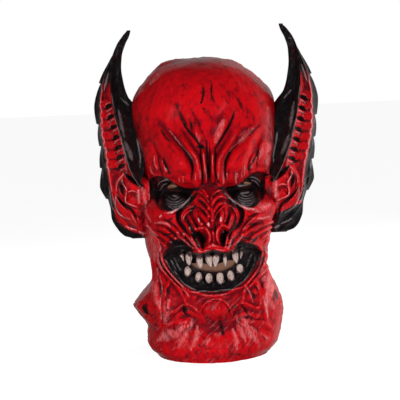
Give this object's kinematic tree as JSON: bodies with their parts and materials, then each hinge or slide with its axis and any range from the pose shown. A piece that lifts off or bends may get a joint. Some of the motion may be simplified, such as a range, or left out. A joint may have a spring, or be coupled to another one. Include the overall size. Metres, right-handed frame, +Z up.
{
  "type": "demon mask",
  "caption": "Hollow over-the-head latex demon mask with folded brow, snarling toothed mouth and tall bat ears with black curved blades.",
  "frame": {"origin": "on the ground under the middle of the mask's box, which is the plane of the neck rim", "axes": "+Z up from the neck rim to the ear tips, the face looks along -Y, +X to the mask's own left"},
  "size_m": [0.2942, 0.2548, 0.4177],
  "materials": {
    "painted_latex": "cast latex painted glossy deep red, with black washed into the folds and solid black on the ear blades, fins, eyes and gums, ivory teeth"
  },
  "bodies": {
    "root": {"demon_mask": "painted_latex"}
  },
  "joints": []
}
